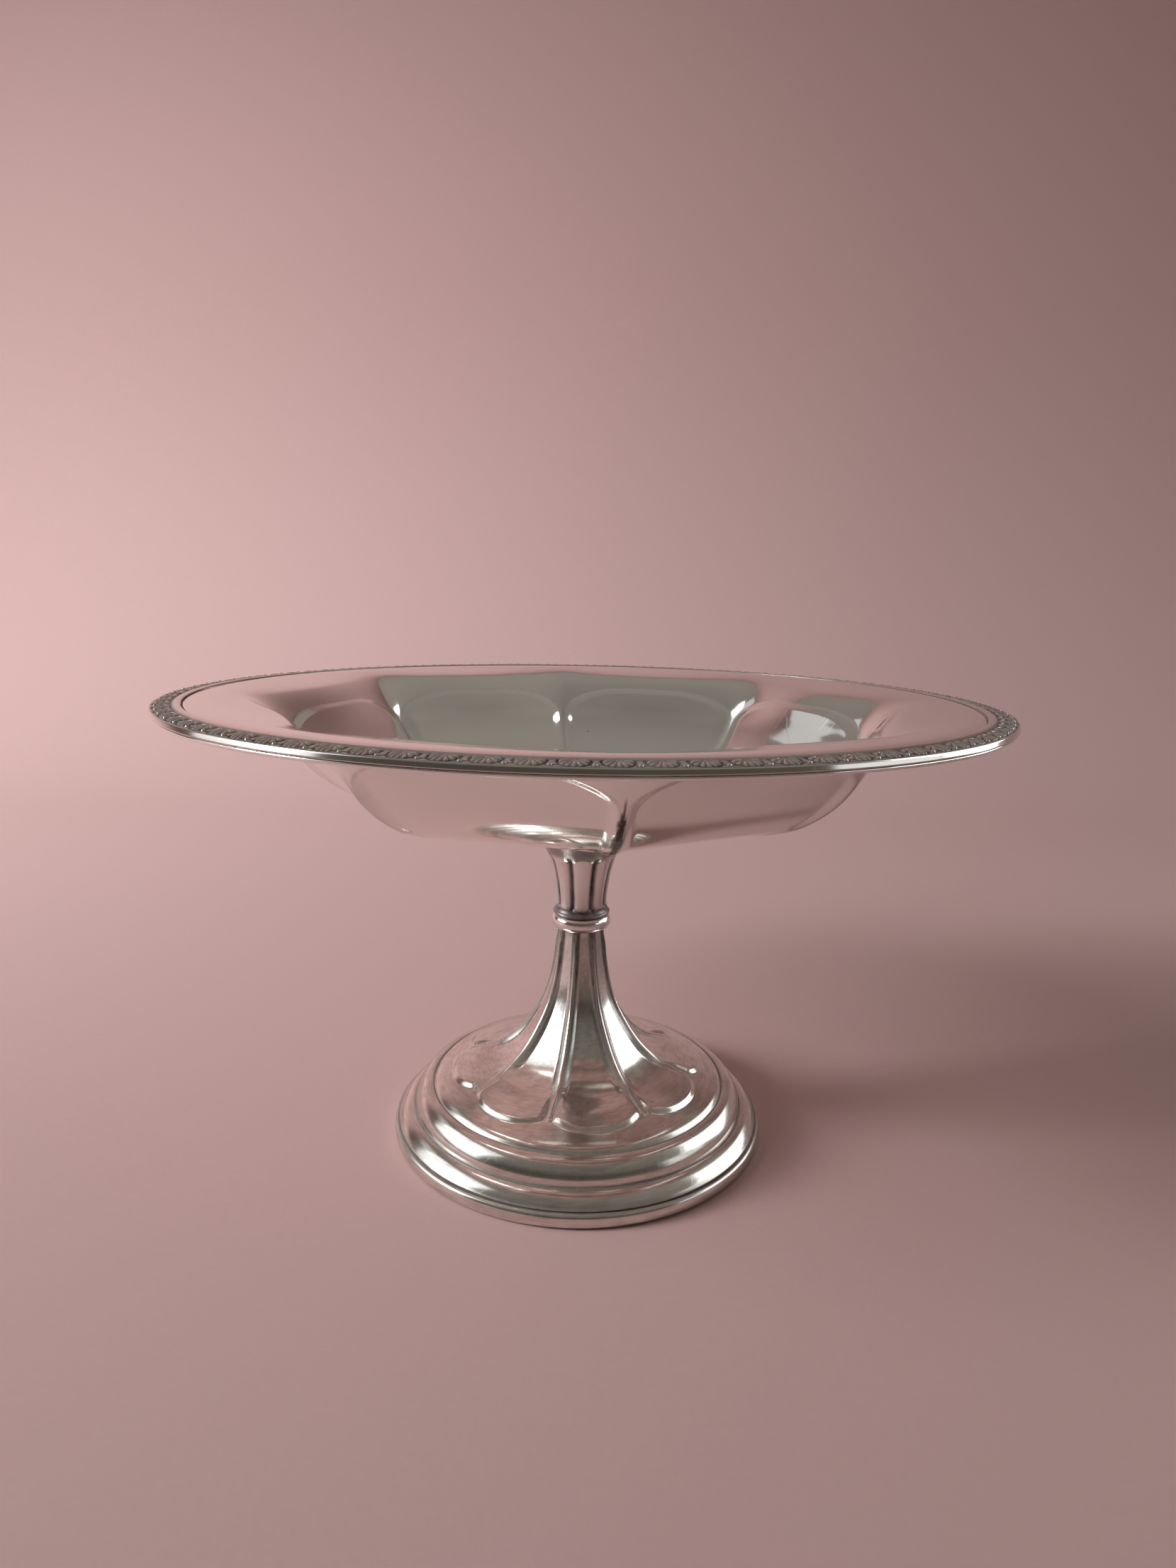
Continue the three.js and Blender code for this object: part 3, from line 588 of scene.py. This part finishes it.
# ------------------------------------------------------------------ foot shell
FOOT = [(7.4, 71.3), (7.6, 69.0), (7.9, 66.4), (9.0, 57.0), (10.3, 50.5), (12.2, 44.5), (15.8, 37.5), (22.0, 29.2), (28.8, 24.0), (34.8, 21.5),
        (38.6, 20.2), (41.5, 19.25), (44.2, 18.35), (46.3, 17.65), (47.3, 17.2), (48.05, 16.65), (48.55, 16.05), (48.85, 15.72), (49.2, 15.85), (50.2, 15.85), (51.6, 15.4), (53.0, 14.2), (54.1, 12.6), (54.8, 10.9),
        (54.98, 9.5), (55.08, 9.12), (55.35, 9.08), (56.3, 9.0), (57.5, 8.5), (58.7, 7.6), (59.7, 6.5), (60.3, 5.6), (60.6, 5.2)]
FOOT_RIDGE = 32.1
az_foot = panel_columns(56, FOOT_RIDGE)
f_len = curve_length(FOOT)
sf_all = np.linspace(0, f_len, 4000)
pf_all = curve(FOOT, sf_all)[0]
sf_of_r = lambda r: float(sf_all[np.argmax(pf_all[:, 0] >= r)])
s_flute_end = sf_of_r(43.1)
s_tip = sf_of_r(39.2)


def foot_side(s, offset):
    p, nrm = curve(FOOT, s)
    r, z = p[:, 0][:, None], p[:, 1][:, None]
    sc = s[:, None]
    t0 = 1 - np.abs(2 * (((az_foot[None, :] - FOOT_RIDGE) / 45) % 1.0) - 1)
    half = r * 22.5 * RAD
    x = t0 * half
    rid = 0.50 + 0.22 * smooth((r - 9) / 28)
    t = np.clip((x - rid) / (half - rid), 0, 1)
    # hollow flutes that rise into round petal ends with a rolled lip, proud of the foot's disc
    dx = x - rid
    dy = s_flute_end - 4.6 * (1 - t) ** 2.4 - sc
    k = 1.6
    m = np.clip(0.5 + 0.5 * (dy - dx) / k, 0, 1)
    d = dy * (1 - m) + dx * m - k * m * (1 - m)
    flute = 0.60 * smooth(d / np.minimum(2.6, 0.42 * half)) + 0.40 * (1 - (1 - t) ** 2) * smooth(dy / 5)
    deep = 2.5 * (1 - np.exp(-0.055 * r)) * (1 - 0.86 * smooth((r - 22) / 16))
    raised = 1.15 * smooth(d / 2.3) * smooth((r - 22) / 14)
    depth = deep * flute * smooth((70.6 - z) / 3) - raised
    # the ridges carry a thin round bead that stops in a blunt tip
    bead = 0.34 * np.exp(-(x / (rid * 1.25)) ** 2) * smooth((s_tip - sc) / 1.6 + 0.5) * smooth((67.5 - z) / 4)
    lift = bead if offset == 0 else 0
    rr = r + nrm[:, 0][:, None] * (offset + depth - lift)
    zz = z + nrm[:, 1][:, None] * (offset + depth - lift) + 0 * rr
    fade = smooth(dy / 3)
    # darkening beside each ridge: tarnish there together with painted shade and painted dark reflection on the steep
    # walls beside the ridges
    side = np.exp(-((x - rid - 0.45) / 0.50) ** 2) * fade
    dark_lines = np.exp(-((sc - sf_of_r(48.95)) / 0.45) ** 2) + np.exp(-((sc - sf_of_r(55.1)) / 0.5) ** 2) + 0.8 * np.exp(-((sc - f_len) / 0.5) ** 2)
    neck = 0.85 * smooth((zz - 48) / 22)
    tarnish_and_shade = np.clip((0.30 + 0.65 * smooth((zz - 18) / 20)) * side + 0.9 * dark_lines + neck * (0.25 + 0.75 * np.exp(-(t / 0.34) ** 2)), 0, 1)
    return polar(rr, az_foot[None, :] + 0 * rr, zz), tarnish_and_shade


s_f = np.unique(np.concatenate([np.linspace(0, sf_of_r(34), 84), np.linspace(sf_of_r(34), sf_of_r(44.5), 44), np.linspace(sf_of_r(44.5), sf_of_r(48), 7), np.linspace(sf_of_r(48), sf_of_r(49.6), 14),
                                np.linspace(sf_of_r(49.6), sf_of_r(54.9), 18), np.linspace(sf_of_r(54.9), sf_of_r(55.6), 10), np.linspace(sf_of_r(55.6), f_len, 16)]))
f_out, f_t = foot_side(s_f, 0)
f_in, f_it = foot_side(np.linspace(1.0, f_len - 0.6, 40), WALL)
foot = make_mesh("foot_trumpet", np.concatenate([f_out, f_in[::-1]]), closed=True, attrs={"tarnish_and_shade": np.concatenate([f_t, f_it[::-1] * 0 + 0.5])},
                 body="pedestal", replaces="foot_shell", slot="polished_silver", material=M_FOOT)

# ------------------------------------------------------- screw stud, felt, rest
az_t = np.linspace(0, 360, 48, endpoint=False)
rows = []
zs = np.linspace(94.0, 104.8, 150)
for z in zs:
    ph = ((z - 94.0) / 1.25 - az_t / 360.0) % 1.0
    thread = 0.42 * (np.abs(2 * ph - 1))
    run = smooth((104.2 - z) / 0.7)
    r = 2.4 - thread * run - 0.9 * np.clip((94.7 - z) / 0.7, 0, 1)
    rows.append(polar(r, az_t, np.full(len(az_t), z)))
stud = make_mesh("bowl_stud_threaded", np.stack(rows), pole_first=(0, 0, 94.0 * MM), pole_last=(0, 0, 104.8 * MM), body="bowl", replaces="bowl_stud",
                 slot="thread_brass", material=brass("brass_stud"))

az_p = np.linspace(0, 360, 200, endpoint=False)
felt_sec = [(0.6, 0.0), (14, 0.0), (28, 0.0), (42, 0.0), (52, 0.0), (56.2, 0.05), (56.75, 0.35), (57.0, 0.9), (56.95, 1.5), (56.7, 1.9), (56.0, 2.0), (40, 2.0), (14, 2.0), (0.6, 2.0)]
rows = []
for i, (r, z) in enumerate(felt_sec):
    wob = 0.10 * np.sin(az_p * RAD * 23 + 1) * np.sin(az_p * RAD * 7) if 56 < r else 0.0
    dz = 0.04 * (1 + np.sin(az_p * RAD * 5 + r)) if z == 0.0 and 10 < r < 50 else 0.0
    rows.append(polar(np.full(len(az_p), r) + wob - 0.1 * (r > 56), az_p, np.full(len(az_p), z) + dz))
pad = make_mesh("felt_disc", np.stack(rows), pole_first=(0, 0, 0.0), pole_last=(0, 0, 2.0 * MM), body="pedestal", replaces="felt_pad", slot="felt_green",
                material=felt("felt_green"))

boss = turned("boss_plate", rounded([(0.4, 104.9), (11.9, 104.9), (12.0, 105.4), (11.7, 105.9), (0.4, 105.9)], 0.25), 96, lambda r, z: 0.35 if r > 11 else 0.15,
              body="bowl", replaces="bowl_boss", slot="inner_silver", material=M_PLAIN)
washer = turned("washer_fibre", rounded([(5.5, 104.0), (12.0, 104.0), (12.0, 104.75), (5.5, 104.75)], 0.16), 96, lambda r, z: 0.0, body="washer", replaces="seat_washer",
                slot="washer_fibre", material=fibre("washer_fibre"))
socket = turned("socket_flanged", rounded([(2.9, 92), (6.5, 92), (6.5, 102), (12.4, 102), (12.4, 103.85), (2.9, 103.85)], 0.3), 96, lambda r, z: 0.0, body="pedestal",
                replaces="socket_bushing", slot="thread_brass", material=brass("brass_socket"))
plate = turned("base_disc", rounded([(3.0, 2.2), (57.8, 2.2), (57.8, 3.0), (3.0, 3.0)], 0.25), 200, lambda r, z: 0.5, body="pedestal", replaces="base_plate",
               slot="inner_silver", material=M_PLAIN)

for node, mat in (("stem_rod", steel("steel_rod")), ("foot_fill", plaster("loading"))):
    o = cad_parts[node]
    o.data.materials.clear()
    o.data.materials.append(mat)

# ------------------------------------------------------------- floor and light
def floor_material():
    k = Nodes("pale_sheet")
    n = k.noise(420.0, 3.0, 0.6)
    m = k.noise(3.0, 2.0, 0.5)
    base = k.mix(n, (0.585, 0.393, 0.380, 1), (0.630, 0.430, 0.416, 1))
    k.link(k.mix(k.math("MULTIPLY", m, 0.25), base, (0.640, 0.445, 0.430, 1)), k.bsdf.inputs["Base Color"])
    k.bsdf.inputs["Roughness"].default_value = 0.75
    k.bsdf.inputs["Specular IOR Level"].default_value = 0.25
    k.link(k.bump(n, 0.12, 0.0003), k.bsdf.inputs["Normal"])
    return k.mat


M_FLOOR = floor_material()
prof = [(-2.2, 0.0), (0.45, 0.0)] + [(0.45 + 0.55 * math.sin(a), 0.55 - 0.55 * math.cos(a)) for a in np.linspace(0, math.pi / 2, 24)[1:]] + [(1.0, 1.12)]
verts, faces = [], []
for i, (y, z) in enumerate(prof):
    verts += [(-3.0, y, z), (3.0, y, z)]
    if i:
        faces.append((2 * i - 2, 2 * i - 1, 2 * i + 1, 2 * i))
me = bpy.data.meshes.new("floor_sweep")
me.from_pydata(verts, [], faces)
me.polygons.foreach_set("use_smooth", np.ones(len(faces), bool))
me.materials.append(M_FLOOR)
floor = bpy.data.objects.new("floor_sweep", me)
bpy.context.scene.collection.objects.link(floor)


def area(name, loc, target, size, power, color=(1, 1, 1), spread=180, along=(0, 0, 1)):
    """Soft rectangular light; size is measured along the direction given and across it."""
    light = bpy.data.lights.new(name, "AREA")
    light.shape = "RECTANGLE"
    light.size, light.size_y = size
    light.energy = power
    light.color = color
    light.spread = spread * RAD
    o = bpy.data.objects.new(name, light)
    bpy.context.scene.collection.objects.link(o)
    back = (Vector(loc) - Vector(target)).normalized()
    x = Vector(along)
    x = (x - back * x.dot(back)).normalized()
    mw = Matrix((x, back.cross(x), back)).transposed().to_4x4()
    mw.translation = Vector(loc)
    o.matrix_world = mw
    o.visible_camera = False
    return o


area("window_left", (-2.12, -0.28, 0.90), (-0.2, 0.35, 0.05), (0.78, 0.66), 10.0, (0.965, 0.98, 1.0), 90)
sky = area("sky_left", (-1.30, -0.36, 1.12), (-0.42, 0.62, 0.12), (0.8, 0.8), 3.9, (0.98, 0.985, 1.0), 80)
sky.visible_glossy = False
for name, loc, size, power in (("glow_left", (-1.97, -0.14, 1.01), (1.66, 1.70), 9.6), ("glow_back", (-1.72, 0.80, 1.26), (0.55, 1.0), 0.6), ("glow_right", (1.24, -0.36, 0.32), (0.36, 0.72), 0.7)):
    glow = area(name, loc, (0, 0, 0.1), size, power, (0.93, 0.97, 1.0))
    glow.visible_diffuse = False
right_side = area("soft_right", (1.175, 0.28, 0.535), (0, 0, 0.06), (1.0, 0.80), 5.8, (0.93, 0.965, 1.0), 180, (0.22, 0.80, -0.46))
right_side.visible_diffuse = False

world = bpy.data.worlds.new("room")
bpy.context.scene.world = world
world.use_nodes = True
wt = world.node_tree
wt.nodes.clear()
wo = wt.nodes.new("ShaderNodeOutputWorld")
bg = wt.nodes.new("ShaderNodeBackground")
wt.links.new(bg.outputs[0], wo.inputs[0])
tc = wt.nodes.new("ShaderNodeTexCoord")
sx = wt.nodes.new("ShaderNodeSeparateXYZ")
wt.links.new(tc.outputs["Generated"], sx.inputs[0])
def world_ramp(axis, stops):
    mr = wt.nodes.new("ShaderNodeMapRange")
    mr.inputs["From Min"].default_value, mr.inputs["From Max"].default_value = -1, 1
    wt.links.new(sx.outputs[axis], mr.inputs["Value"])
    n = wt.nodes.new("ShaderNodeValToRGB")
    wt.links.new(mr.outputs[0], n.inputs[0])
    e = n.color_ramp.elements
    while len(e) > 1:
        e.remove(e[-1])
    e[0].position, e[0].color = stops[0][0] / 2 + 0.5, (*stops[0][1], 1)
    for v, c in stops[1:]:
        e.new(v / 2 + 0.5).color = (*c, 1)
    return n.outputs[0]


# a dim warm room: bands by height, a little darker behind the camera and lighter to the right
height = world_ramp("Z", [(-1.0, (0.12, 0.09, 0.08)), (0.0, (0.20, 0.155, 0.135)), (0.10, (0.155, 0.125, 0.110)), (0.17, (0.090, 0.079, 0.070)), (0.32, (0.097, 0.088, 0.079)),
                          (0.46, (0.185, 0.172, 0.155)), (0.75, (0.235, 0.220, 0.198)), (1.0, (0.265, 0.250, 0.225))])
front = world_ramp("Y", [(-1.0, (0.90, 0.88, 0.86)), (-0.4, (0.96, 0.95, 0.94)), (0.3, (1.15, 1.1, 1.08)), (1.0, (1.25, 1.1, 1.08))])
side = world_ramp("X", [(-1.0, (1.0, 1.0, 1.0)), (0.0, (0.92, 0.92, 0.92)), (1.0, (1.25, 1.25, 1.22))])
prod = None
for c in (height, front, side):
    if prod is None:
        prod = c
        continue
    mx = wt.nodes.new("ShaderNodeMix")
    mx.data_type, mx.blend_type = "RGBA", "MULTIPLY"
    mx.inputs[0].default_value = 1.0
    wt.links.new(prod, mx.inputs[6])
    wt.links.new(c, mx.inputs[7])
    prod = mx.outputs[2]
wt.links.new(prod, bg.inputs[0])
bg.inputs[1].default_value = 0.85

# ---------------------------------------------------------------------- camera
yaw, pitch, roll = 0.0044, 0.1985, 0.0212
fwd = Vector((math.sin(yaw) * math.cos(pitch), math.cos(yaw) * math.cos(pitch), -math.sin(pitch)))
right = Vector((math.cos(yaw), -math.sin(yaw), 0.0))
up = right.cross(fwd)
r2 = right * math.cos(roll) + up * math.sin(roll)
u2 = -right * math.sin(roll) + up * math.cos(roll)
cam_data = bpy.data.cameras.new("camera")
cam_data.sensor_width = 36.0
cam_data.sensor_fit = "AUTO"
cam_data.lens = 36.0 * 1346.5 / 2212.0
cam_data.clip_start, cam_data.clip_end = 0.01, 50.0
cam = bpy.data.objects.new("camera", cam_data)
bpy.context.scene.collection.objects.link(cam)
m = Matrix((r2, u2, -fwd)).transposed().to_4x4()
m.translation = Vector((0.0, -0.3031, 0.1785))
cam.matrix_world = m
bpy.context.scene.camera = cam

bpy.context.scene.view_settings.view_transform = "Standard"
bpy.context.scene.view_settings.look = "None"
bpy.context.scene.view_settings.exposure = 0.0
